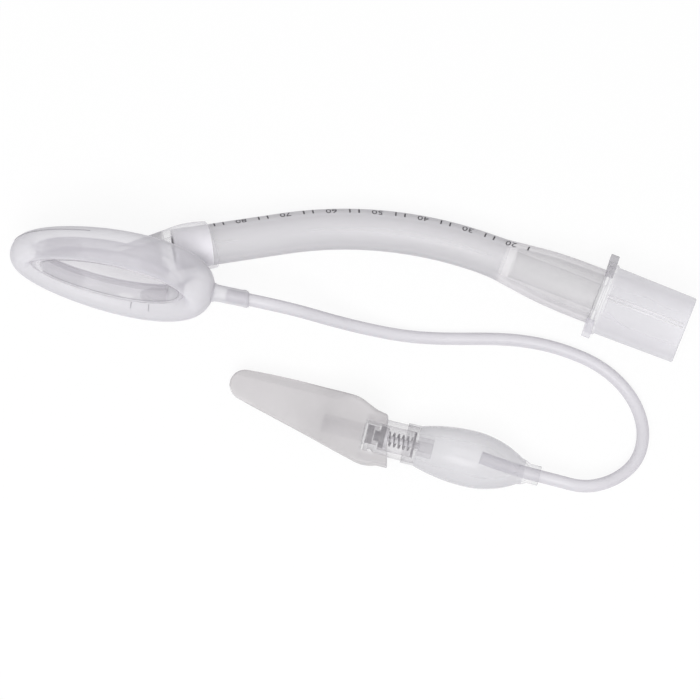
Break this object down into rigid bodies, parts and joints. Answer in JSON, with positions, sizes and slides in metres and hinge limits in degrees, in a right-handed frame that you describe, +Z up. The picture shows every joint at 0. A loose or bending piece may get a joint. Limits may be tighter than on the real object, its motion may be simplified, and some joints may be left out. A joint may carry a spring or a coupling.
{
  "type": "laryngeal mask airway",
  "caption": "Infant laryngeal mask airway: soft cuffed mask on a curved clear tube with a 15 mm cone, and a thin line to a pilot balloon with a check valve and a leaf-shaped vent tag.",
  "frame": {"origin": "centre of the footprint of mask, tube and connector, on the surface they lie on; the free line, its balloon, valve and tag are left out of it", "axes": "+X from the mask's tip towards the connector's open end, +Y towards the outside of the tube's bend, +Z up from the surface"},
  "size_m": [0.1514, 0.0635, 0.0262],
  "materials": {
    "cuff": "soft clear vinyl, slightly frosted, inflated",
    "mask": "soft clear vinyl, slightly frosted",
    "tube": "clear soft vinyl tube",
    "connector": "clear rigid plastic",
    "line": "clear soft vinyl tube",
    "balloon": "thin clear vinyl film",
    "valve": "clear rigid plastic",
    "plunger": "natural white plastic",
    "spring": "bright stainless wire",
    "seal": "black rubber",
    "plug": "clear rigid plastic",
    "tag": "translucent natural plastic"
  },
  "bodies": {
    "airway": {"cuff": "cuff", "backplate": "mask", "airway_tube": "tube", "connector": "connector", "inflation_line": "line", "pilot_balloon": "balloon", "valve_body": "valve", "valve_tail": "valve", "valve_spring": "spring"},
    "plunger": {"valve_plunger": "plunger", "valve_seal": "seal"},
    "vent": {"vent_plug": "plug", "vent_tag": "tag"}
  },
  "joints": [
    {"name": "plunger_slide", "type": "slide", "parent": "airway", "child": "plunger", "axis": [0.9701, -0.2419, 0.0197], "range_m": [0, 0.0012], "stiffness_N_per_m": 300, "springref_m": -0.001, "deforming": ["valve_spring"]},
    {"name": "vent_pull", "type": "slide", "parent": "airway", "child": "vent", "axis": [-0.9701, 0.2419, -0.0197], "range_m": [0, 0.006]}
  ]
}
